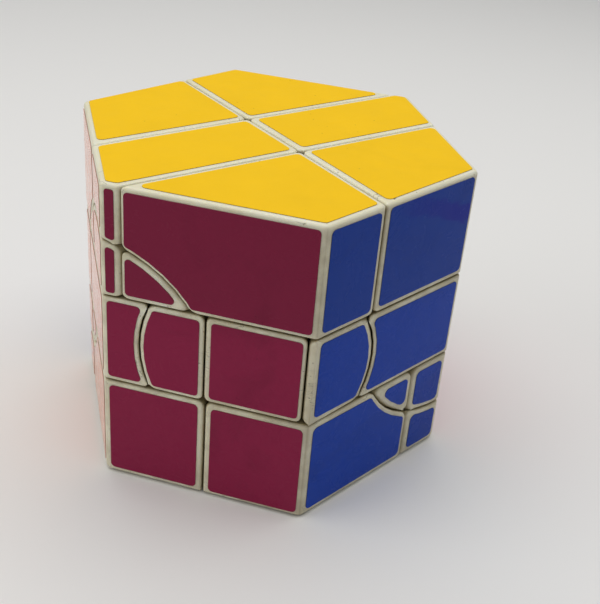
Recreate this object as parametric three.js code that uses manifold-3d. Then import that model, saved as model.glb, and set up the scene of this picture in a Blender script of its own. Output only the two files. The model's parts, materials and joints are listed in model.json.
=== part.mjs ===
// Twisty puzzle in the form of a hexagonal prism.
//
// Three layers are stacked along Z. Each layer is cut by a square grid and by a circle whose axis lies
// flat, and each layer carries its grid at a different turn from the hexagon, so the cuts don't line up
// from layer to layer. Inside is a six-armed core with a screw and a spring on every arm.
//
// Millimetres, +Z up, the puzzle stands on Z = 0 and its middle axis is the Z axis.
//
// Every layer is modelled in the frame of its own grid and then turned into place:
//   grid X  the axis of the circle cut, front half at +X, back half at -X
//   grid Y  across the columns, left column at +Y, right column at -Y
//   grid Z  the puzzle's own axis, with 0 at mid height

import * as THREE from 'three';
import { mergeVertices } from 'three/addons/utils/BufferGeometryUtils.js';
import Module from 'manifold-3d';

const wasm = await Module();
wasm.setup();

// ---------------------------------------------------------------- driving sizes

const CELL = 19; // pitch of the grid, as in a 57 mm cube mechanism
const SIDE = 41.6; // side of the hexagon
const GAP = 0.3; // clearance between neighbouring pieces

const MIDDLE_LAYER = CELL;
const END_LAYER = 1.2 * CELL; // upper and lower layers
const HEIGHT = MIDDLE_LAYER + 2 * END_LAYER;
const CIRCLE = 1.17 * CELL; // radius of the circle cut

const UPPER_TURN = 50.7; // degrees about Z from the hexagon's corner on +X to the grid's X
const MIDDLE_TURN = -75.2;
const LOWER_TURN = 0;

const HALF_GAP = GAP / 2;
const HALF_CELL = CELL / 2;
const APOTHEM = SIDE * Math.cos(Math.PI / 6);
const FAR = 3 * SIDE; // beyond every face, for cutting boxes

// the hollow in the middle and the tongues that hold the layers together, all round the Z axis
const CAVITY = 12.5; // radius of the hollow round the core
const TONGUE_OUTER = 15.5; // radius of the sphere that the tongues' outer faces follow
const TONGUE_TIP = 6.6; // how near to mid height the tongues reach

// the dovetail ribs by which the pieces outside the circle hang on the pieces inside it
const RIB_MIDDLE = 21; // along the circle's axis
const RIB_DEPTH = 2.6;
const RIB_NECK = 3;
const RIB_TIP = 5;

// the core and what is screwed to it
const BALL = 6.2;
const ARM_RADIUS = 3.2;
const ARM_END = 10;
const SHANK_RADIUS = 1.1;
const HEAD_RADIUS = 2.3;
const HEAD_THICK = 1.2;
const SCREW_TIP = 5;
const SLOT_WIDTH = 0.6;
const SLOT_DEPTH = 0.5;
const SPRING_RADIUS = 1.9;
const SPRING_WIRE = 0.25;
const SPRING_TURNS = 3;
const HUB_RADIUS = 3.7;
const HUB_FLANGE = 4.9;
const HUB_BORE = 2.6;
const HUB_FLOOR = 12; // top of the floor that the spring pushes on
const LEDGE = 13; // where the flange bears on the pieces under it
const FLANGE_TOP = 14.9;
const POCKET_END = 17.2;

const CAP_THICK = 2.4;
const CAP_PLUG = 4;

const ROUND = 48; // facets of the circle cut
const RING = 30; // facets of the rings round the Z axis
const FINE = 14; // facets of the small turned parts

// ---------------------------------------------------------------- solids

/** Signed volume of a triangle mesh, negative when it is inside out. */
function signedVolume(position, corners) {
  const [a, b, c] = [new THREE.Vector3(), new THREE.Vector3(), new THREE.Vector3()];
  let volume = 0;
  for (let i = 0; i < corners.length; i += 3) {
    a.fromArray(position, 3 * corners[i]);
    b.fromArray(position, 3 * corners[i + 1]);
    c.fromArray(position, 3 * corners[i + 2]);
    volume += a.dot(b.cross(c)) / 6;
  }
  return volume;
}

/** A closed three.js geometry as a manifold-3d solid. */
function solid(geometry) {
  geometry.deleteAttribute('normal');
  geometry.deleteAttribute('uv');
  const merged = mergeVertices(geometry);
  const position = merged.attributes.position.array;
  const index = merged.index.array;
  const corners = [];
  for (let i = 0; i < index.length; i += 3) {
    const [a, b, c] = [index[i], index[i + 1], index[i + 2]];
    if (a !== b && b !== c && c !== a) {
      corners.push(a, b, c);
    }
  }
  if (signedVolume(position, corners) < 0) {
    corners.reverse();
  }
  const mesh = new wasm.Mesh({
    numProp: 3,
    vertProperties: new Float32Array(position),
    triVerts: new Uint32Array(corners),
  });
  return new wasm.Manifold(mesh);
}

/** A manifold-3d solid as a flat-shaded three.js geometry. */
function geometryOf(body) {
  const { vertProperties, triVerts } = body.getMesh();
  const geometry = new THREE.BufferGeometry();
  geometry.setAttribute('position', new THREE.BufferAttribute(new Float32Array(vertProperties), 3));
  geometry.setIndex(new THREE.BufferAttribute(new Uint32Array(triVerts), 1));
  const flat = geometry.toNonIndexed();
  flat.computeVertexNormals();
  return flat;
}

/** A box between two corners. */
function block(low, high) {
  const size = high.map((value, axis) => value - low[axis]);
  const centre = high.map((value, axis) => (value + low[axis]) / 2);
  return solid(new THREE.BoxGeometry(...size).translate(...centre));
}

/** Turns a geometry made round Z so that its axis points along 'x', 'y' or 'z', or along '-x' and so on. */
function aimed(geometry, direction) {
  if (direction.startsWith('-')) {
    geometry.rotateX(Math.PI);
  }
  if (direction.endsWith('x')) {
    geometry.rotateY(Math.PI / 2);
  }
  if (direction.endsWith('y')) {
    geometry.rotateX(-Math.PI / 2);
  }
  return geometry;
}

/** A turned solid: [radius, height] points revolved round the axis that direction names. */
function turned(profile, direction = 'z', facets = ROUND) {
  const points = profile.map(([radius, height]) => new THREE.Vector2(radius, height));
  const geometry = new THREE.LatheGeometry(points, facets);
  return solid(aimed(geometry.rotateX(Math.PI / 2), direction));
}

/** A plain cylinder from one height to another. */
function rod(radius, low, high, direction = 'z', facets = ROUND) {
  return turned([[0, low], [radius, low], [radius, high], [0, high]], direction, facets);
}

/** Points on a circle round the origin, from one height to another, as [radius, height]. */
function arc(radius, low, high, steps = 2) {
  const first = Math.asin(low / radius);
  const last = Math.asin(high / radius);
  const points = [];
  for (let step = 0; step <= steps; step += 1) {
    const angle = first + ((last - first) * step) / steps;
    points.push([radius * Math.cos(angle), radius * Math.sin(angle)]);
  }
  return points;
}

/** The hexagonal prism between two heights, seen in the frame of a grid turned by so many degrees. */
function hexagonPrism(apothem, low, high, turn) {
  const outline = new THREE.Shape();
  const radius = apothem / Math.cos(Math.PI / 6);
  for (let corner = 0; corner < 6; corner += 1) {
    const angle = (corner * Math.PI) / 3 - THREE.MathUtils.degToRad(turn);
    const [x, y] = [radius * Math.cos(angle), radius * Math.sin(angle)];
    if (corner === 0) {
      outline.moveTo(x, y);
    } else {
      outline.lineTo(x, y);
    }
  }
  outline.closePath();
  const geometry = new THREE.ExtrudeGeometry(outline, { depth: high - low, bevelEnabled: false });
  return solid(geometry.translate(0, 0, low));
}

// ---------------------------------------------------------------- shared cutters

const insideCircle = rod(CIRCLE - HALF_GAP, -FAR, FAR, 'x');
const circleCutter = rod(CIRCLE + HALF_GAP, -FAR, FAR, 'x');
const cavity = turned(arc(CAVITY, -CAVITY, CAVITY, 10), 'z', RING);

/** The dovetail rib round the circle's axis, on the front (+1) or back (-1) half, grown by a clearance. */
function rib(half, clearance) {
  const root = CIRCLE + 0.6;
  const tip = CIRCLE - RIB_DEPTH - clearance;
  const neck = RIB_NECK / 2 + clearance;
  const wide = RIB_TIP / 2 + clearance;
  const middle = half * RIB_MIDDLE;
  const profile = [
    [tip, middle - wide],
    [root, middle - neck],
    [root, middle + neck],
    [tip, middle + wide],
    [tip, middle - wide],
  ];
  return turned(profile, 'x');
}

const ribs = rib(1, 0).add(rib(-1, 0));
const ribGrooves = rib(1, GAP).add(rib(-1, GAP));

/** The ring of tongues under an end layer, which reaches into the middle layer. */
function tongueRing(direction) {
  const top = HALF_CELL + 2 * GAP;
  const outer = arc(TONGUE_OUTER, TONGUE_TIP, top);
  const inner = arc(CAVITY, TONGUE_TIP, top).reverse();
  return turned([...outer, ...inner, outer[0]], direction, RING);
}

/** The room in the middle layer for that ring, with clearance. */
function tongueChannel(direction) {
  const floor = TONGUE_TIP - GAP;
  const top = HALF_CELL + GAP;
  return turned([[0, floor], ...arc(TONGUE_OUTER + GAP, floor, top), [0, top]], direction, RING);
}

/** The room for a hub, its spring and its screw's head. */
function hubPocket(direction) {
  const profile = [
    [0, ARM_END - 1],
    [HUB_RADIUS + GAP, ARM_END - 1],
    [HUB_RADIUS + GAP, LEDGE],
    [HUB_FLANGE + GAP, LEDGE],
    [HUB_FLANGE + GAP, POCKET_END],
    [0, POCKET_END],
  ];
  return turned(profile, direction, FINE);
}

/** Everything on one side of a grid plane: the cell of one half and one column. */
function cell(half, column) {
  const x = half > 0 ? [HALF_GAP, FAR] : [-FAR, -HALF_GAP];
  const columns = {
    left: [HALF_CELL + HALF_GAP, FAR],
    middle: [HALF_GAP - HALF_CELL, HALF_CELL - HALF_GAP],
    right: [-FAR, -HALF_CELL - HALF_GAP],
  };
  const y = columns[column];
  return block([x[0], y[0], -FAR], [x[1], y[1], FAR]);
}

// ---------------------------------------------------------------- materials

const ivoryPlastic = { color: 0xe4e2d0, roughness: 0.42, metalness: 0 };
const whiteNylon = { color: 0xd9d8d2, roughness: 0.55, metalness: 0 };
const zincSteel = { color: 0x9c9fa3, roughness: 0.35, metalness: 1 };
const springSteel = { color: 0x83868b, roughness: 0.28, metalness: 1 };

/** A named mesh with its own material. */
function part(name, body, finish) {
  const mesh = new THREE.Mesh(geometryOf(body), new THREE.MeshStandardMaterial(finish));
  mesh.name = name;
  return mesh;
}

/** A group turned about Z by so many degrees. */
function turnedGroup(turn) {
  const group = new THREE.Group();
  group.rotation.z = THREE.MathUtils.degToRad(turn);
  return group;
}

const HALVES = { front: 1, back: -1 };

// ---------------------------------------------------------------- upper and lower layers

/** The twelve pieces of an end layer: level is 'upper' or 'lower'. */
function endLayer(level, turn) {
  const up = level === 'upper' ? 1 : -1;
  const axis = up > 0 ? 'z' : '-z';
  const heights = [up * (HALF_CELL + HALF_GAP), (up * HEIGHT) / 2].sort((a, b) => a - b);
  const slab = hexagonPrism(APOTHEM, ...heights, turn);
  const band = block([-FAR, -FAR, heights[0]], [FAR, FAR, heights[1]]);

  const outerStock = slab.subtract(circleCutter).add(ribs.intersect(band));
  const innerStock = slab
    .intersect(insideCircle)
    .subtract(ribGrooves)
    .subtract(cavity)
    .add(tongueRing(axis))
    .subtract(hubPocket(axis));

  const group = turnedGroup(turn);
  for (const [end, half] of Object.entries(HALVES)) {
    for (const column of ['left', 'middle', 'right']) {
      const room = cell(half, column);
      const kind = column === 'middle' ? 'edge' : 'corner';
      const place = column === 'middle' ? end : `${end}_${column}`;
      group.add(part(`${level}_outer_${kind}_${place}`, outerStock.intersect(room), ivoryPlastic));
      group.add(part(`${level}_inner_${kind}_${place}`, innerStock.intersect(room), ivoryPlastic));
    }
  }
  return group;
}

// ---------------------------------------------------------------- middle layer

/** The ten pieces of the middle layer and the caps on its two centres. */
function middleLayer(turn) {
  const limit = HALF_CELL - HALF_GAP;
  const slab = hexagonPrism(APOTHEM, -limit, limit, turn);
  const band = block([-FAR, -FAR, -limit], [FAR, FAR, limit]);
  const capLine = hexagonPrism(APOTHEM - CAP_THICK, -FAR, FAR, turn);
  const capSeat = hexagonPrism(APOTHEM - CAP_THICK - GAP, -FAR, FAR, turn);

  const outerStock = slab.subtract(circleCutter).add(ribs.intersect(band));
  const innerStock = slab
    .intersect(insideCircle)
    .subtract(ribGrooves)
    .subtract(cavity)
    .subtract(tongueChannel('z'))
    .subtract(tongueChannel('-z'))
    .subtract(hubPocket('y'))
    .subtract(hubPocket('-y'));

  const group = turnedGroup(turn);
  for (const [end, half] of Object.entries(HALVES)) {
    for (const column of ['left', 'right']) {
      const room = cell(half, column);
      group.add(part(`middle_outer_edge_${end}_${column}`, outerStock.intersect(room), ivoryPlastic));
      group.add(part(`middle_inner_edge_${end}_${column}`, innerStock.intersect(room), ivoryPlastic));
    }
    const axis = half > 0 ? 'x' : '-x';
    const centre = innerStock.intersect(cell(half, 'middle'));
    const stem = rod(HUB_RADIUS, ARM_END + GAP, CAVITY + 1, axis, FINE);
    const shankHole = rod(SHANK_RADIUS + GAP, ARM_END, HUB_FLOOR, axis, FINE);
    const bore = rod(HUB_BORE, HUB_FLOOR, FAR, axis, FINE);
    const base = centre.intersect(capSeat).add(stem).subtract(shankHole).subtract(bore);
    const plugStart = APOTHEM - CAP_THICK - GAP - CAP_PLUG;
    const plug = rod(HUB_BORE - GAP, plugStart, APOTHEM, axis, FINE).intersect(capLine);
    const cap = centre.subtract(capLine).add(plug);
    group.add(part(`middle_centre_${end}`, base, ivoryPlastic));
    group.add(part(`middle_centre_cap_${end}`, cap, ivoryPlastic));
  }
  return group;
}

// ---------------------------------------------------------------- core, hubs, screws and springs

/** The six-armed core, with a pilot hole in every arm. */
function coreSpider() {
  let body = solid(new THREE.SphereGeometry(BALL, 16, 8));
  for (const axis of ['x', '-x', 'y', '-y', 'z', '-z']) {
    body = body.add(rod(ARM_RADIUS, 0, ARM_END, axis, FINE));
  }
  for (const axis of ['x', '-x', 'y', '-y', 'z', '-z']) {
    body = body.subtract(rod(SHANK_RADIUS + GAP, SCREW_TIP - GAP, ARM_END + 1, axis, FINE));
  }
  return body;
}

/** A hidden hub: a flanged cup that a spring presses towards the core. */
function hub(axis) {
  const profile = [
    [SHANK_RADIUS + GAP, ARM_END + GAP],
    [HUB_RADIUS, ARM_END + GAP],
    [HUB_RADIUS, LEDGE + GAP],
    [HUB_FLANGE, LEDGE + GAP],
    [HUB_FLANGE, FLANGE_TOP],
    [HUB_BORE, FLANGE_TOP],
    [HUB_BORE, HUB_FLOOR],
    [SHANK_RADIUS + GAP, HUB_FLOOR],
    [SHANK_RADIUS + GAP, ARM_END + GAP],
  ];
  return turned(profile, axis, FINE);
}

/** A slotted pan-head screw. */
function screw(axis) {
  const seat = FLANGE_TOP + GAP;
  const top = seat + HEAD_THICK;
  const profile = [
    [0, SCREW_TIP],
    [SHANK_RADIUS / 2, SCREW_TIP],
    [SHANK_RADIUS, SCREW_TIP + SHANK_RADIUS],
    [SHANK_RADIUS, seat],
    [HEAD_RADIUS, seat],
    [HEAD_RADIUS, top - HEAD_THICK / 2],
    [HEAD_RADIUS - HEAD_THICK / 2, top],
    [0, top],
  ];
  const slot = new THREE.BoxGeometry(2 * HEAD_RADIUS, SLOT_WIDTH, 2 * SLOT_DEPTH).translate(0, 0, top);
  return turned(profile, axis, FINE).subtract(solid(aimed(slot, axis)));
}

/** The line that a spring's wire follows. */
class Helix extends THREE.Curve {
  constructor(radius, low, high, turns) {
    super();
    Object.assign(this, { radius, low, high, turns });
  }

  getPoint(t, target = new THREE.Vector3()) {
    const angle = 2 * Math.PI * this.turns * t;
    const height = this.low + (this.high - this.low) * t;
    return target.set(this.radius * Math.cos(angle), this.radius * Math.sin(angle), height);
  }
}

/** A coil spring round the screw's shank, between the hub's floor and the screw's head. */
function spring(axis) {
  const reach = SPRING_WIRE + GAP;
  const path = new Helix(SPRING_RADIUS, HUB_FLOOR + reach, FLANGE_TOP + GAP - reach, SPRING_TURNS);
  const section = new THREE.Shape();
  section.absarc(0, 0, SPRING_WIRE, 0, 2 * Math.PI);
  const options = { extrudePath: path, steps: 8 * SPRING_TURNS, curveSegments: 3, bevelEnabled: false };
  return solid(aimed(new THREE.ExtrudeGeometry(section, options), axis));
}

/** A screw and its spring, and a hidden hub where no visible centre takes its place. */
function fastening(name, axis, hidden) {
  const group = new THREE.Group();
  if (hidden) {
    group.add(part(`${name}_hub`, hub(axis), whiteNylon));
  }
  group.add(part(`${name}_screw`, screw(axis), zincSteel));
  group.add(part(`${name}_spring`, spring(axis), springSteel));
  return group;
}

/** Everything inside, in the frame of the middle layer's grid. */
function mechanism(turn) {
  const group = turnedGroup(turn);
  group.add(part('core', coreSpider(), whiteNylon));
  group.add(fastening('upper', 'z', true));
  group.add(fastening('lower', '-z', true));
  group.add(fastening('side_left', 'y', true));
  group.add(fastening('side_right', '-y', true));
  group.add(fastening('centre_front', 'x', false));
  group.add(fastening('centre_back', '-x', false));
  return group;
}

// ---------------------------------------------------------------- the whole puzzle

const puzzle = new THREE.Group();
puzzle.position.z = HEIGHT / 2;
puzzle.add(endLayer('upper', UPPER_TURN));
puzzle.add(middleLayer(MIDDLE_TURN));
puzzle.add(endLayer('lower', LOWER_TURN));
puzzle.add(mechanism(MIDDLE_TURN));

export default puzzle;
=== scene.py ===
"""Looks of the hexagonal prism twisty puzzle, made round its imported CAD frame.

Every CAD piece that shows gets a copy with rounded edges, and every flat outer face of that copy gets a
sticker with rounded corners, cut to the face's own outline. Metres, in the frame of the CAD model: Z is
up, the middle axis is the Z axis, the lower face lies at Z = 0 and the front face looks along -Y.
"""

import json
import math
import random
from collections import namedtuple

import bmesh
import bpy
from mathutils import Matrix, Vector


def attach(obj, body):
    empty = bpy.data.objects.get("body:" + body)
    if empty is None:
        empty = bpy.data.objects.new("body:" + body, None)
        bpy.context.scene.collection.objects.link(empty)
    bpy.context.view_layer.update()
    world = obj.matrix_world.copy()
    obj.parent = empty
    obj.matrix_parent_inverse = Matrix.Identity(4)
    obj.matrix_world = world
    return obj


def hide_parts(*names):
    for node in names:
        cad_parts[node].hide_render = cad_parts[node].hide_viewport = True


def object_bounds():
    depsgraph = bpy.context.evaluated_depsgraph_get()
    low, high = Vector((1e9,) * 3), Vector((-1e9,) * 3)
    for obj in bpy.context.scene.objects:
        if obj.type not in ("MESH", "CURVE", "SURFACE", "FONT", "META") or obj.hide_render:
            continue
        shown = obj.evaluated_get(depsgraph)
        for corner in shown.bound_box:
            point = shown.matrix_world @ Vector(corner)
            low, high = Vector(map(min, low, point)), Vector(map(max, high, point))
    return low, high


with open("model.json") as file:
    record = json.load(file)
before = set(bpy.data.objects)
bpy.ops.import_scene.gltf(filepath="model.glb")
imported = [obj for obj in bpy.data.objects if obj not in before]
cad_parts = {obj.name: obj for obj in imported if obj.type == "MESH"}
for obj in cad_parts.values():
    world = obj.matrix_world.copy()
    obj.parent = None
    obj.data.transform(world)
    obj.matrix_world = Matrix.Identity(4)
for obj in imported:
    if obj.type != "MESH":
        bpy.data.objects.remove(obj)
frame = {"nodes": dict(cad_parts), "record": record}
cad_box = [list(corner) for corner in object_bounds()]

# ---------------------------------------------------------------- sizes in metres, and shares

MM = 0.001
UP = Vector((0, 0, 1))
HEIGHT = cad_box[1][2]
APOTHEM = cad_box[1][1]

# how the CAD's flat faces and sharp edges are told apart
SURFACE_TOLERANCE = 0.01 * MM
SAME_POINT = 0.001 * MM
SAME_PLANE = math.radians(0.5)
FACING = 0.999  # cosine between a face's normal and the side it belongs to
SHARP = math.radians(25)  # edges sharper than this are real edges, not facets of an arc

# a film, and where it lies on its face
STICKER_THICKNESS = 0.13 * MM
STICKER_GLUE = 0.01 * MM  # between the plastic and the film
STICKER_EDGE = 0.04 * MM  # bevel round the film's top
STICKER_WANDER = 0.15 * MM  # how far a sticker may sit off its place
STICKER_CORNER = 0.9  # corner radius of a film, as a share of the bare rim round it
NARROWEST = 1.4 * MM  # a face stays bare if its film would be narrower than this
STRIP_RIM = 0.23  # the widest rim, as a share of the face's width
STRIP_CORNER = 0.16  # the largest corner radius, as a share of the face's width
LOWER_RIM_EXTRA = 0.2 * MM  # the lower layer's films were cut smaller

# rounding of the plastic's edges
ROUNDING_SHARE = 0.85  # radius between two outer faces, as a share of the bare rim
GROOVE_SHARE = 0.72  # radius along the grooves, as a share of the radius above
CORNER_SHARE = 1.35  # radius of the edges that run inwards, as a share of the bare rim
ROUNDING_SEGMENTS = 3
CORNER_SEGMENTS = 4

# outlines
ARC_STEP = math.radians(15)  # the most that one step of a round corner turns
SHORTEST_EDGE = 0.0001 * MM
PARALLEL = 1e-9  # sine of the angle under which two edges count as one line
LEAST_MITRE = 0.3  # keeps the point of a sharp corner near

# how deep under the puzzle's outer surface the plastic's wear, stains and painted shade begin and are
# full
STAIN_AND_SHADE_BELOW_TOP = (0.3 * MM, 1.1 * MM)
LESS_RUBBED = (0.05 * MM, 0.5 * MM)
# where painted shade within the grooves begins and is full: first near the surface, then further in
GROOVE_SHADE_DEPTH = (0.12 * MM, 0.45 * MM)
DEEP_GROOVE_SHADE_DEPTH = (0.6 * MM, 2.8 * MM)


def linear(red, green, blue):
    """A colour from 0 to 255 sRGB values as a linear colour."""
    def one(value):
        share = value / 255
        if share <= 0.04045:
            return share / 12.92
        return ((share + 0.055) / 1.055) ** 2.4
    return (one(red), one(green), one(blue), 1.0)


# how a film's surface looks; gloss is the specular level, and the last column is how much painted dark
# reflection its colour gets
Finish = namedtuple("Finish", "least_rough most_rough gloss crease_height smear_strength")
GLOSSY = Finish(0.20, 0.34, 0.12, 0.0, 0.2)
SATIN = Finish(0.42, 0.56, 0.08, 0.0, 0.05)
CREASED = Finish(0.07, 0.14, 0.50, 0.10 * MM, 0.08)

# what a side or an end of the prism looks like; facing is a level direction in degrees for a side,
# and 1 for up or -1 for down for an end; rim is the bare plastic left round each film
Face = namedtuple("Face", "facing colour finish rim")
SIDES = {
    "front": Face(-90, linear(146, 33, 72), GLOSSY, 0.88 * MM),
    "front_right": Face(-30, linear(0, 60, 168), GLOSSY, 1.05 * MM),
    "back_right": Face(30, linear(210, 66, 118), GLOSSY, 1.0 * MM),
    "back": Face(90, linear(20, 132, 66), GLOSSY, 1.05 * MM),
    "back_left": Face(150, linear(104, 56, 150), GLOSSY, 1.0 * MM),
    "front_left": Face(210, linear(247, 174, 146), CREASED, 1.0 * MM),
}
ENDS = {
    "top": Face(1, linear(250, 201, 28), SATIN, 1.1 * MM),
    "bottom": Face(-1, linear(228, 228, 224), SATIN, 1.1 * MM),
}
FACES = SIDES | ENDS

# painted shade: the glossy films of the upper layer get a darker colour than the ones below its joint,
# standing in for the weaker reflections they show
UPPER_SHADE_FROM = 0.60 * HEIGHT
UPPER_SHADE_ABOVE = 0.68 * HEIGHT
UPPER_SHADE_SHARE = 0.5
UPPER_SHADE_TINT = (0.62, 0.74, 0.6)

# a painted reflection: a dark ragged band on the upper layer's front right films
DARK_REFLECTION_SIDE = "front_right"
DARK_REFLECTION_BELOW_TOP = 1.8 * MM  # where the band crosses the middle of the side
DARK_REFLECTION_FALL = 0.34  # its slope down to the right
DARK_REFLECTION_WIDTH = 4.6 * MM
DARK_REFLECTION_COLOUR = linear(0, 31, 148)


def level_direction(degrees):
    """A level unit vector."""
    angle = math.radians(degrees)
    return Vector((math.cos(angle), math.sin(angle), 0))


def outward(side):
    """The unit vector that a side or an end faces."""
    if side in ENDS:
        return UP * ENDS[side].facing
    return level_direction(SIDES[side].facing)


def reach(side):
    """How far a side's plane lies from the origin, along its outward direction."""
    if side in SIDES:
        return APOTHEM
    return HEIGHT if ENDS[side].facing > 0 else 0.0


def sides_at(point):
    """The names of the outer planes that a point lies on."""
    return [
        side
        for side in FACES
        if abs(point.dot(outward(side)) - reach(side)) < SURFACE_TOLERANCE
    ]


# ---------------------------------------------------------------- node materials

class Shader:
    """A material under construction: a principled shader and the nodes that feed it."""

    def __init__(self, name):
        self.material = bpy.data.materials.new(name)
        self.material.use_nodes = True
        self.nodes = self.material.node_tree.nodes
        self.links = self.material.node_tree.links
        self.surface = self.nodes["Principled BSDF"]
        self.place = self.nodes.new("ShaderNodeTexCoord").outputs["Object"]

    def feed(self, socket, source):
        """Links a node's output to a socket, or sets the socket to a plain value."""
        if isinstance(source, bpy.types.NodeSocket):
            self.links.new(source, socket)
        else:
            socket.default_value = source

    def stretched(self, scale, turn=(0, 0, 0)):
        """The place coordinate, scaled differently along X, Y and Z, then turned."""
        mapping = self.nodes.new("ShaderNodeMapping")
        mapping.inputs["Scale"].default_value = scale
        mapping.inputs["Rotation"].default_value = turn
        self.links.new(self.place, mapping.inputs["Vector"])
        return mapping.outputs["Vector"]

    def noise(self, size, detail=3.0, roughness=0.5, vector=None, distortion=0.0):
        """Noise with features of about this size in metres."""
        node = self.nodes.new("ShaderNodeTexNoise")
        node.inputs["Scale"].default_value = 1 / size
        node.inputs["Detail"].default_value = detail
        node.inputs["Roughness"].default_value = roughness
        node.inputs["Distortion"].default_value = distortion
        self.links.new(vector or self.place, node.inputs["Vector"])
        return node.outputs["Fac"]

    def cells(self, size):
        """Distance to the nearest of many scattered points, in cells of about this size."""
        node = self.nodes.new("ShaderNodeTexVoronoi")
        node.inputs["Scale"].default_value = 1 / size
        self.links.new(self.place, node.inputs["Vector"])
        return node.outputs["Distance"]

    def span(self, source, low, high, new_low=0.0, new_high=1.0):
        """Maps the range low to high onto a new range, with its ends clamped."""
        node = self.nodes.new("ShaderNodeMapRange")
        node.inputs["From Min"].default_value = low
        node.inputs["From Max"].default_value = high
        node.inputs["To Min"].default_value = new_low
        node.inputs["To Max"].default_value = new_high
        self.links.new(source, node.inputs["Value"])
        return node.outputs["Result"]

    def math(self, operation, first, second=0.0):
        """Arithmetic on two values."""
        node = self.nodes.new("ShaderNodeMath")
        node.operation = operation
        self.feed(node.inputs[0], first)
        self.feed(node.inputs[1], second)
        return node.outputs["Value"]

    def product(self, *values):
        """All the values multiplied."""
        result = values[0]
        for value in values[1:]:
            result = self.math("MULTIPLY", result, value)
        return result

    def off(self, source, value):
        """How far a value is from another, either way."""
        return self.math("ABSOLUTE", self.math("SUBTRACT", source, value))

    def along(self, direction):
        """How far the place lies along a direction."""
        node = self.nodes.new("ShaderNodeVectorMath")
        node.operation = "DOT_PRODUCT"
        self.links.new(self.place, node.inputs[0])
        node.inputs[1].default_value = direction
        return node.outputs["Value"]

    def mix(self, share, first, second):
        """A colour between two colours."""
        node = self.nodes.new("ShaderNodeMix")
        node.data_type = "RGBA"
        self.feed(node.inputs["Factor"], share)
        self.feed(node.inputs[6], first)
        self.feed(node.inputs[7], second)
        return node.outputs[2]

    def bump(self, height, strength, distance, after=None):
        """Normals bent by a height, on top of normals bent before."""
        node = self.nodes.new("ShaderNodeBump")
        node.inputs["Strength"].default_value = strength
        node.inputs["Distance"].default_value = distance
        self.links.new(height, node.inputs["Height"])
        if after:
            self.links.new(after, node.inputs["Normal"])
        return node.outputs["Normal"]

    def set(self, **sockets):
        """Feeds the principled shader's sockets, named with _ for a space."""
        for name, source in sockets.items():
            self.feed(self.surface.inputs[name.replace("_", " ")], source)


def shade(colour, factor):
    """A colour made darker or lighter."""
    return tuple(min(1.0, channel * factor) for channel in colour[:3]) + (1.0,)


def blend(first, second, share):
    """A colour part of the way from one to another."""
    return tuple(a + (b - a) * share for a, b in zip(first[:3], second[:3])) + (1.0,)


def depth_below_surface(shader):
    """How deep a place lies under the puzzle's outer surface."""
    height = shader.along(UP)
    depth = shader.math("MINIMUM", height, shader.math("SUBTRACT", HEIGHT, height))
    for side in SIDES:
        from_side = shader.math("SUBTRACT", APOTHEM, shader.along(outward(side)))
        depth = shader.math("MINIMUM", depth, from_side)
    return depth


def ivory_colour(shader):
    """Mottled ivory with random stains, cracks and specks; the sides below the top get painted shade,
    more of it towards the front right side; within the grooves painted shade, darker near the outer
    surface and yellower further in.
    """
    clean = linear(238, 234, 210)
    warm = linear(232, 225, 192)
    # the next colour is used both for random stains and for painted shade on the sides
    stain_and_shade = linear(172, 161, 136)
    # the next two colours are painted shade within the grooves: darker near the outer surface, yellower
    # further in
    groove_shade = linear(158, 145, 106)
    deep_groove_shade = linear(176, 162, 120)
    speck = linear(128, 112, 84)
    depth = depth_below_surface(shader)
    below_top = shader.math("SUBTRACT", HEIGHT, shader.along(UP))
    mottled = shader.span(shader.noise(14 * MM, 4), 0.35, 0.68)
    # the sides below the top get stains and painted shade; the top stays clean
    off_top = shader.span(below_top, *STAIN_AND_SHADE_BELOW_TOP)
    blotches = shader.span(shader.noise(7 * MM, 5, 0.65), 0.43, 0.70, 0.0, 0.9)
    # painted shade growing towards the front right side
    front_right_shade = shader.span(shader.along(outward("front_right")), 0.4 * APOTHEM, APOTHEM, 0.0, 0.6)
    stains_and_shade = shader.math("MINIMUM", shader.math("ADD", blotches, front_right_shade), 1.0)
    less_rubbed = shader.span(depth, *LESS_RUBBED, 0.6, 1.0)
    patchy = shader.span(shader.noise(3 * MM, 5, 0.65), 0.3, 0.7, 0.6, 1.0)
    # painted shade within the grooves
    in_groove = shader.span(depth, *GROOVE_SHADE_DEPTH)
    deep = shader.span(depth, *DEEP_GROOVE_SHADE_DEPTH)
    ridges = shader.noise(2.2 * MM, 2, 0.5, shader.stretched((0.5, 0.5, 1.6)))
    hairlines = shader.span(shader.off(ridges, 0.5), 0.0, 0.008, 1.0, 0.0)
    scarce = shader.span(shader.noise(9 * MM, 2), 0.58, 0.62)
    specks = shader.span(shader.cells(2.6 * MM), 0.05, 0.09, 0.45, 0.0)
    base = shader.mix(mottled, clean, warm)
    base = shader.mix(shader.product(off_top, stains_and_shade, less_rubbed), base, stain_and_shade)
    base = shader.mix(shader.product(off_top, in_groove, patchy), base, groove_shade)
    base = shader.mix(shader.product(deep, patchy), base, deep_groove_shade)
    base = shader.mix(shader.product(hairlines, scarce), base, shade(stain_and_shade, 0.35))
    return shader.mix(specks, base, speck)


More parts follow.
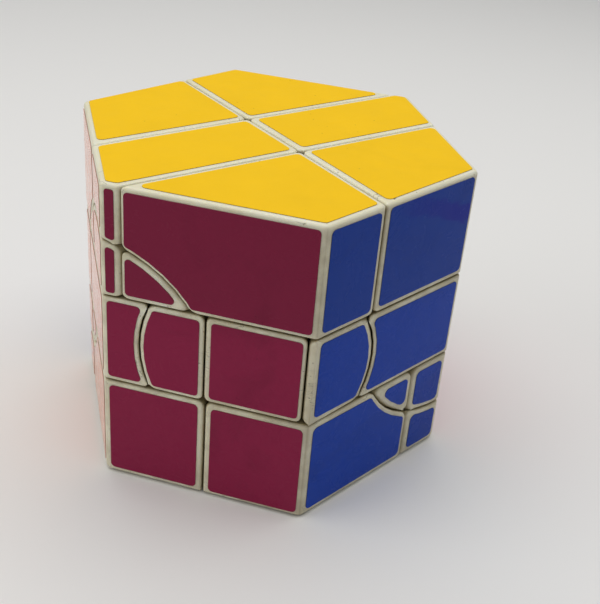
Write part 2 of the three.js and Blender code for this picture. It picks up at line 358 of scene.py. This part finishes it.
def ivory_plastic():
    """Moulded ivory plastic with shallow dents, fine scratches and a fine grain."""
    shader = Shader("ivory_plastic")
    dents = shader.noise(2.4 * MM, 3)
    scratches = shader.noise(0.5 * MM, 2, 0.5, shader.stretched((1.0, 1.0, 0.06), (0.3, 0.2, 0.5)))
    grain = shader.noise(0.16 * MM, 2)
    normal = shader.bump(dents, 0.25, 0.12 * MM)
    normal = shader.bump(scratches, 0.16, 0.05 * MM, normal)
    normal = shader.bump(grain, 0.10, 0.03 * MM, normal)
    roughness = shader.span(shader.noise(5 * MM, 4), 0.3, 0.7, 0.28, 0.46)
    shader.set(Base_Color=ivory_colour(shader), Roughness=roughness, Normal=normal)
    shader.set(Subsurface_Weight=0.2, Subsurface_Scale=1.2 * MM, Specular_IOR_Level=0.5)
    shader.set(Subsurface_Radius=(1.0, 0.8, 0.45))
    return shader.material


def dark_reflection_band(shader):
    """A painted dark reflection: a ragged band near the top of its side, falling and growing stronger to
    the right.
    """
    across = shader.along(level_direction(SIDES[DARK_REFLECTION_SIDE].facing + 90))
    ripples = shader.noise(3.4 * MM, 4, 0.65, shader.stretched((0.45, 0.45, 1.0)), 0.6)
    ragged = shader.product(shader.math("SUBTRACT", ripples, 0.5), DARK_REFLECTION_WIDTH)
    level = shader.math("ADD", shader.along(UP), shader.product(across, DARK_REFLECTION_FALL))
    off_line = shader.off(shader.math("ADD", level, ragged), HEIGHT - DARK_REFLECTION_BELOW_TOP)
    dark_band = shader.span(off_line, 0.32 * DARK_REFLECTION_WIDTH, 0.5 * DARK_REFLECTION_WIDTH, 1.0, 0.0)
    stronger = shader.span(across, 0.0, 0.4 * APOTHEM, 0.35, 1.0)
    on_right = shader.span(across, -3 * MM, 1 * MM)
    return shader.product(dark_band, stronger, on_right)


def film_colour(shader, side):
    """A film's colour, slightly uneven, with broad patches of painted dark reflection, on one side a
    painted dark band, and specks.
    """
    colour = FACES[side].colour
    finish = FACES[side].finish
    uneven = shader.span(shader.noise(9 * MM, 4, 0.6), 0.3, 0.7)
    base = shader.mix(uneven, shade(colour, 0.98), shade(colour, 1.02))
    # painted shade on the upper layer's glossy films
    if finish == GLOSSY:
        upper = shader.span(shader.along(UP), UPPER_SHADE_FROM, UPPER_SHADE_ABOVE, 0.0, UPPER_SHADE_SHARE)
        upper_shaded = tuple(channel * left for channel, left in zip(colour, UPPER_SHADE_TINT)) + (1.0,)
        base = shader.mix(upper, base, upper_shaded)
    # broad patches of painted dark reflection
    reflection_noise = shader.noise(26 * MM, 6, 0.6, distortion=0.8)
    dark_reflections = shader.span(reflection_noise, 0.55, 0.66, 0.0, finish.smear_strength)
    base = shader.mix(dark_reflections, base, shade(colour, 0.4))
    # a painted dark reflection in a band near the top of this side
    if side == DARK_REFLECTION_SIDE:
        base = shader.mix(dark_reflection_band(shader), base, DARK_REFLECTION_COLOUR)
    specks = shader.span(shader.cells(3.4 * MM), 0.035, 0.06, 0.5, 0.0)
    return shader.mix(specks, base, shade(colour, 0.45))


def film_normals(shader, crease_height):
    """A film's wavy, orange-peel surface with hairline scratches and, if it has them, creases."""
    waves = shader.noise(7 * MM, 2)
    peel = shader.noise(0.55 * MM, 2)
    hairlines = shader.noise(0.35 * MM, 1, 0.5, shader.stretched((0.08, 1.0, 1.0), (0.5, 0.9, 0.4)))
    normal = shader.bump(waves, 0.30, 0.25 * MM)
    normal = shader.bump(peel, 0.12, 0.02 * MM, normal)
    normal = shader.bump(hairlines, 0.05, 0.015 * MM, normal)
    if crease_height:
        ridges = shader.noise(3.2 * MM, 3, 0.6, shader.stretched((1.0, 1.0, 0.22)), 2.2)
        creases = shader.span(shader.off(ridges, 0.5), 0.0, 0.05)
        normal = shader.bump(creases, 0.6, crease_height, normal)
    return normal


def sticker_film(side):
    """The vinyl film on one side or end, duller where it was touched."""
    finish = FACES[side].finish
    shader = Shader(f"film_{side}")
    touched = shader.noise(6 * MM, 5, 0.7, distortion=1.2)
    roughness = shader.span(touched, 0.35, 0.7, finish.least_rough, finish.most_rough)
    shader.set(Base_Color=film_colour(shader, side), Roughness=roughness)
    shader.set(Normal=film_normals(shader, finish.crease_height), Specular_IOR_Level=finish.gloss)
    return shader.material


def sticker_rim(side):
    """The cut edge of a film, darker than the film, dull and patchily greyed."""
    colour = FACES[side].colour
    rim_grey = linear(104, 98, 88)
    shader = Shader(f"film_rim_{side}")
    patchy = shader.span(shader.noise(1.5 * MM, 3), 0.35, 0.65)
    dark = blend(shade(colour, 0.35), rim_grey, 0.5)
    light = blend(shade(colour, 0.7), rim_grey, 0.4)
    shader.set(Base_Color=shader.mix(patchy, dark, light), Roughness=0.7)
    return shader.material


def nylon():
    """Moulded white nylon with a fine matt grain."""
    shader = Shader("white_nylon")
    base = shader.mix(shader.noise(4 * MM, 3), linear(222, 221, 214), linear(206, 204, 194))
    normal = shader.bump(shader.noise(0.2 * MM, 2), 0.2, 0.03 * MM)
    roughness = shader.span(shader.noise(2 * MM), 0.3, 0.7, 0.5, 0.65)
    shader.set(Base_Color=base, Roughness=roughness, Normal=normal)
    return shader.material


def steel(name, colour, grain):
    """Bright steel with drawn or turned lines."""
    shader = Shader(name)
    base = shader.mix(shader.noise(1.2 * MM, 3), shade(colour, 0.88), shade(colour, 1.08))
    lines = shader.noise(grain, 2, 0.5, shader.stretched((1.0, 1.0, 0.1)))
    roughness = shader.span(lines, 0.3, 0.7, 0.24, 0.4)
    normal = shader.bump(lines, 0.15, 0.02 * MM)
    shader.set(Base_Color=base, Roughness=roughness, Normal=normal, Metallic=1.0)
    return shader.material


# ---------------------------------------------------------------- outlines of stickers

def edge_lines(points):
    """A flat outline's edges as (start, direction) pairs, without the ones too short for a direction."""
    lines = []
    for start, end in zip(points, points[1:] + points[:1]):
        if (end - start).length > SHORTEST_EDGE:
            lines.append((start, (end - start).normalized()))
    return lines


def inward(direction):
    """The inner side of an edge, on an outline that runs anticlockwise."""
    return Vector((-direction.y, direction.x))


def meeting(first, second):
    """Where two lines, each a (start, direction) pair, meet."""
    (start, along), (other_start, other_along) = first, second
    cross = along.x * other_along.y - along.y * other_along.x
    if abs(cross) < PARALLEL:
        return other_start
    gap = other_start - start
    return start + along * ((gap.x * other_along.y - gap.y * other_along.x) / cross)


def shrunk(points, distance):
    """An outline moved inwards, without the edges that vanish on the way, or None if nothing is left."""
    lines = [(start + inward(along) * distance, along) for start, along in edge_lines(points)]
    while len(lines) > 2:
        corners = [meeting(lines[i - 1], lines[i]) for i in range(len(lines))]
        lengths = [
            (corners[(i + 1) % len(lines)] - corners[i]).dot(lines[i][1]) for i in range(len(lines))
        ]
        shortest = min(range(len(lines)), key=lambda i: lengths[i])
        if lengths[shortest] > 0:
            return corners
        del lines[shortest]
    return None


def grown_round(points, radius):
    """An outline moved outwards, with round corners."""
    lines = edge_lines(points)
    outline = []
    for i, (start, along) in enumerate(lines):
        before = lines[i - 1][1]
        turn = math.atan2(before.x * along.y - before.y * along.x, before.dot(along))
        first = -inward(before)
        if turn > ARC_STEP / 2:
            steps = max(1, round(turn / ARC_STEP))
            for step in range(steps + 1):
                bend = Matrix.Rotation(turn * step / steps, 2)
                outline.append(start + bend @ first * radius)
        else:
            across = (first - inward(along)).normalized()
            outline.append(start + across * (radius / max(LEAST_MITRE, math.cos(turn / 2))))
    return outline


def narrowest(points):
    """The width of an outline, measured square to the edge that makes it least."""
    widths = []
    for _, along in edge_lines(points):
        across = inward(along)
        reached = [point.dot(across) for point in points]
        widths.append(max(reached) - min(reached))
    return min(widths)


def sticker_outline(points, rim):
    """The outline of a face's film and the bare rim left round it, or None for a face too small."""
    width = narrowest(points)
    margin = min(rim, width * STRIP_RIM)
    radius = min(margin * STICKER_CORNER, width * STRIP_CORNER)
    core = shrunk(points, margin + radius)
    if core and narrowest(core) + 2 * radius > NARROWEST:
        return grown_round(core, radius), margin
    return None


# ---------------------------------------------------------------- pieces

def face_frame(side):
    """The two directions of a face's own flat coordinates, right-handed with its outward direction."""
    normal = outward(side)
    across = UP.cross(normal) if side in SIDES else Vector((1, 0, 0))
    return across, normal.cross(across)


def clean_copy(node):
    """The CAD node's mesh with each flat face in one piece."""
    shape = bmesh.new()
    shape.from_mesh(node.data)
    bmesh.ops.remove_doubles(shape, verts=shape.verts, dist=SAME_POINT)
    bmesh.ops.dissolve_limit(shape, angle_limit=SAME_PLANE, verts=shape.verts, edges=shape.edges)
    return shape


def outer_faces(shape):
    """The faces that lie in the puzzle's outer planes, as (side, outline in the face's coordinates)."""
    found = []
    for face in shape.faces:
        middle = face.calc_center_median()
        for side in sides_at(middle):
            if face.normal.dot(outward(side)) > FACING:
                across, up = face_frame(side)
                found.append((side, [Vector((v.co.dot(across), v.co.dot(up))) for v in face.verts]))
    return found


def sharp_edges(shape, ends_outside):
    """The sharp edges with this many of their two ends on the outer surface."""
    outer = {vertex for vertex in shape.verts if sides_at(vertex.co)}
    return [
        edge
        for edge in shape.edges
        if len(edge.link_faces) == 2
        and edge.calc_face_angle() > SHARP
        and sum(vertex in outer for vertex in edge.verts) == ends_outside
    ]


def round_corners(shape, radius):
    """Rounds the edges that run inwards from the outer faces' corners."""
    bmesh.ops.bevel(
        shape,
        geom=[edge for edge in sharp_edges(shape, 1) if edge.is_convex],
        offset=radius,
        offset_type="OFFSET",
        segments=CORNER_SEGMENTS,
        profile=0.5,
        affect="EDGES",
        clamp_overlap=False,
    )


def weigh_edges(shape):
    """Marks the outer faces' own edges for rounding, fully where two outer faces meet."""
    weight = shape.edges.layers.float.new("bevel_weight_edge")
    for edge in sharp_edges(shape, 2):
        outside = [face for face in edge.link_faces if sides_at(face.calc_center_median())]
        edge[weight] = 1.0 if len(outside) == 2 else GROOVE_SHARE


def piece_object(name, shape, materials, body):
    """Turns a bmesh into a named piece that rides on a CAD body."""
    mesh = bpy.data.meshes.new(name)
    shape.to_mesh(mesh)
    shape.free()
    for material in materials:
        mesh.materials.append(material)
    piece = bpy.data.objects.new(name, mesh)
    bpy.context.collection.objects.link(piece)
    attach(piece, body)
    return piece


def smooth(piece, radius):
    """Rounded edges as weighed, and smooth shading with flat faces kept flat."""
    for polygon in piece.data.polygons:
        polygon.use_smooth = True
    if radius:
        rounding = piece.modifiers.new("rounding", "BEVEL")
        rounding.limit_method = "WEIGHT"
        rounding.width = radius
        rounding.segments = ROUNDING_SEGMENTS
        rounding.use_clamp_overlap = False
    weights = piece.modifiers.new("flat_faces", "WEIGHTED_NORMAL")
    weights.weight = 100
    weights.keep_sharp = True


def add_sticker(name, side, outline, body):
    """A film on a face, a little off its place as if put on by hand."""
    chance = random.Random(name)
    slip = Vector((chance.uniform(-1, 1), chance.uniform(-1, 1))) * STICKER_WANDER
    across, up = face_frame(side)
    normal = outward(side)
    low = normal * (reach(side) + STICKER_GLUE)
    shape = bmesh.new()
    ring = [shape.verts.new(low + across * (p.x + slip.x) + up * (p.y + slip.y)) for p in outline]
    base = shape.faces.new(ring)
    base.normal_update()
    lifted = bmesh.ops.extrude_face_region(shape, geom=[base], use_keep_orig=True)
    top = [item for item in lifted["geom"] if isinstance(item, bmesh.types.BMFace)][0]
    bmesh.ops.translate(shape, vec=normal * STICKER_THICKNESS, verts=list(top.verts))
    bmesh.ops.recalc_face_normals(shape, faces=shape.faces)
    for face in shape.faces:
        face.material_index = 0 if face is top else 1
    bmesh.ops.bevel(
        shape, geom=list(top.edges), offset=STICKER_EDGE, segments=1, affect="EDGES", clamp_overlap=False
    )
    piece_object(name, shape, (films[side], rims[side]), body)


def visible_piece(name, body):
    """The rounded copy of a CAD piece, with its stickers."""
    node = frame["nodes"][name]
    shape = clean_copy(node)
    faces = outer_faces(shape)
    rims_left = []
    for side, points in faces:
        rim = FACES[side].rim + (LOWER_RIM_EXTRA if body == "lower_layer" else 0.0)
        cut = sticker_outline(points, rim)
        if cut:
            outline, margin = cut
            rims_left.append(margin)
            add_sticker(f"{name}_sticker_{side}", side, outline, body)
    least_rim = min(rims_left, default=0.0)
    if least_rim:
        round_corners(shape, least_rim * CORNER_SHARE)
        weigh_edges(shape)
    piece = piece_object(f"{name}_shell", shape, (plastic,), body)
    smooth(piece, least_rim * ROUNDING_SHARE)
    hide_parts(name)


# ---------------------------------------------------------------- the puzzle

plastic = ivory_plastic()
films = {}
rims = {}
for face_name in FACES:
    films[face_name] = sticker_film(face_name)
    rims[face_name] = sticker_rim(face_name)

hidden_finishes = {
    "white_nylon": nylon(),
    "zinc_steel": steel("zinc_steel", linear(172, 174, 178), 0.3 * MM),
    "spring_steel": steel("spring_steel", linear(150, 152, 156), 0.2 * MM),
}
slots = {part["node"]: part["material_slot"] for part in frame["record"]["subparts"]}
body_of_node = {
    node: body for body, nodes in frame["record"]["behaviour"]["bodies"].items() for node in nodes
}
for node_name, slot_name in slots.items():
    if slot_name == "ivory_plastic":
        visible_piece(node_name, body_of_node[node_name])
    else:
        frame["nodes"][node_name].data.materials.clear()
        frame["nodes"][node_name].data.materials.append(hidden_finishes[slot_name])

# ---------------------------------------------------------------- floor, light and camera

FLOOR_SIZE = 6.0
FLOOR_DROP = 0.25 * MM  # under Z = 0, clear of the bottom stickers

WORLD_COLOUR = (0.93, 0.96, 1.0, 1.0)
WORLD_STRENGTH = 0.18

# sizes and distances in metres, angles in degrees: azimuth 0 is in front, 90 to the right
Light = namedtuple("Light", "size power azimuth elevation distance colour")
LIGHTS = {
    "key": Light(0.8, 2.75, -165, 82, 0.54, (1.0, 0.99, 0.97)),
    "left": Light(0.5, 0.88, -60, 26, 0.60, (1.0, 0.98, 0.96)),
    "right": Light(0.5, 0.40, 115, 26, 0.60, (0.97, 0.98, 1.0)),
}

CAMERA_AZIMUTH = math.radians(13.36)
CAMERA_ELEVATION = math.radians(30.46)
CAMERA_ROLL = math.radians(5.0)
CAMERA_DISTANCE = 221.6 * MM
CAMERA_AIM = Vector((8.34, 0.68, 26.96)) * MM
CAMERA_LENS = 60.46


def make_floor():
    """A plain pale floor that runs out of sight."""
    shader = Shader("floor")
    base = shader.mix(shader.noise(0.6, 2), linear(238, 237, 235), linear(242, 241, 239))
    shader.set(Base_Color=base, Roughness=0.85, Specular_IOR_Level=0.2)
    bpy.ops.mesh.primitive_plane_add(size=FLOOR_SIZE, location=(0, 0, -FLOOR_DROP))
    floor = bpy.context.object
    floor.name = "floor"
    floor.data.materials.append(shader.material)


def make_world():
    """Even pale light from all round."""
    world = bpy.data.worlds.new("studio")
    world.use_nodes = True
    background = world.node_tree.nodes["Background"]
    background.inputs["Color"].default_value = WORLD_COLOUR
    background.inputs["Strength"].default_value = WORLD_STRENGTH
    bpy.context.scene.world = world


def towards(azimuth, elevation):
    """The unit vector from the puzzle towards a light or the camera."""
    return Vector((
        math.sin(azimuth) * math.cos(elevation),
        -math.cos(azimuth) * math.cos(elevation),
        math.sin(elevation),
    ))


def area_light(name, light):
    """A soft round light that looks at the puzzle's middle."""
    data = bpy.data.lights.new(name, "AREA")
    data.shape = "DISK"
    data.size = light.size
    data.energy = light.power
    data.color = light.colour
    lamp = bpy.data.objects.new(name, data)
    bpy.context.collection.objects.link(lamp)
    back = towards(math.radians(light.azimuth), math.radians(light.elevation))
    lamp.location = UP * (HEIGHT / 2) + back * light.distance
    lamp.rotation_euler = back.to_track_quat("Z", "Y").to_euler()


def make_camera():
    """The camera, aimed at a point near the puzzle's middle and rolled a little."""
    data = bpy.data.cameras.new("camera")
    data.lens = CAMERA_LENS
    data.clip_start = 0.01
    data.clip_end = 20
    camera = bpy.data.objects.new("camera", data)
    bpy.context.collection.objects.link(camera)
    level = Vector((math.cos(CAMERA_AZIMUTH), math.sin(CAMERA_AZIMUTH), 0))
    back = towards(CAMERA_AZIMUTH, CAMERA_ELEVATION)
    upright = back.cross(level)
    right = level * math.cos(CAMERA_ROLL) + upright * math.sin(CAMERA_ROLL)
    up = upright * math.cos(CAMERA_ROLL) - level * math.sin(CAMERA_ROLL)
    place = Matrix((right, up, back)).transposed().to_4x4()
    place.translation = CAMERA_AIM + back * CAMERA_DISTANCE
    camera.matrix_world = place
    bpy.context.scene.camera = camera


make_floor()
make_world()
for light_name, light_look in LIGHTS.items():
    area_light(light_name, light_look)
make_camera()
bpy.context.scene.view_settings.view_transform = "Standard"
